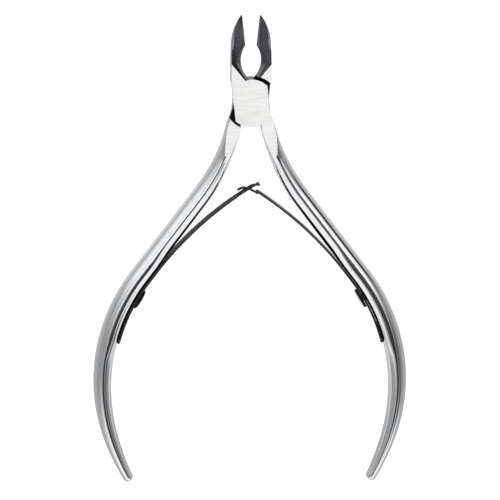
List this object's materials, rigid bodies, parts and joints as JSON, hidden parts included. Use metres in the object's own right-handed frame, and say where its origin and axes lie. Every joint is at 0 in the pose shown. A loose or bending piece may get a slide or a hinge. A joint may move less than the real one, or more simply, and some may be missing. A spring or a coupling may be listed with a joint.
{
  "type": "cuticle nipper",
  "caption": "Spring-loaded cuticle nipper: two lapped, riveted steel levers with hollow-ground half jaws, opened by interlocking leaf springs between curved handles.",
  "frame": {"origin": "on the rivet's axis, in the plane of the levers' back faces that the nipper rests on", "axes": "+Y from the rivet to the jaw tips, +Z through the thickness towards the front lever's plate, +X towards the front lever's handle"},
  "size_m": [0.0716, 0.1073, 0.006],
  "materials": {
    "polished_lever": "mirror-polished forged stainless steel handles, satin belt-ground plates and hollow-ground jaws",
    "rivet_steel": "stainless steel, ground flush with the satin plates",
    "spring_steel": "tempered spring steel strip, bright rolled",
    "screw_steel": "turned stainless steel, polished dome"
  },
  "bodies": {
    "rear_lever": {"rear_lever": "polished_lever", "pivot_rivet": "rivet_steel", "left_spring_screw": "screw_steel"},
    "front_lever": {"front_lever": "polished_lever", "right_spring_screw": "screw_steel"},
    "left_spring": {"left_spring": "spring_steel"},
    "right_spring": {"right_spring": "spring_steel"}
  },
  "joints": [
    {"name": "handle_pivot", "type": "hinge", "parent": "rear_lever", "child": "front_lever", "pos_m": [0, 0, 0.003], "axis": [0, 0, -1], "range_deg": [0, 11.4], "stiffness_Nm_per_rad": 1.5},
    {"name": "left_spring_flex", "type": "hinge", "parent": "rear_lever", "child": "left_spring", "pos_m": [-0.01884, -0.03582, 0.003], "axis": [0, 0, 1], "range_deg": [0, 6.2], "deforming": ["left_spring"]},
    {"name": "right_spring_flex", "type": "hinge", "parent": "front_lever", "child": "right_spring", "pos_m": [0.01884, -0.03582, 0.003], "axis": [0, 0, -1], "range_deg": [0, 6.2], "deforming": ["right_spring"]}
  ],
  "couplings": [
    {"joint": "left_spring_flex", "follows": "handle_pivot", "ratio": 0.54},
    {"joint": "right_spring_flex", "follows": "handle_pivot", "ratio": 0.54}
  ]
}
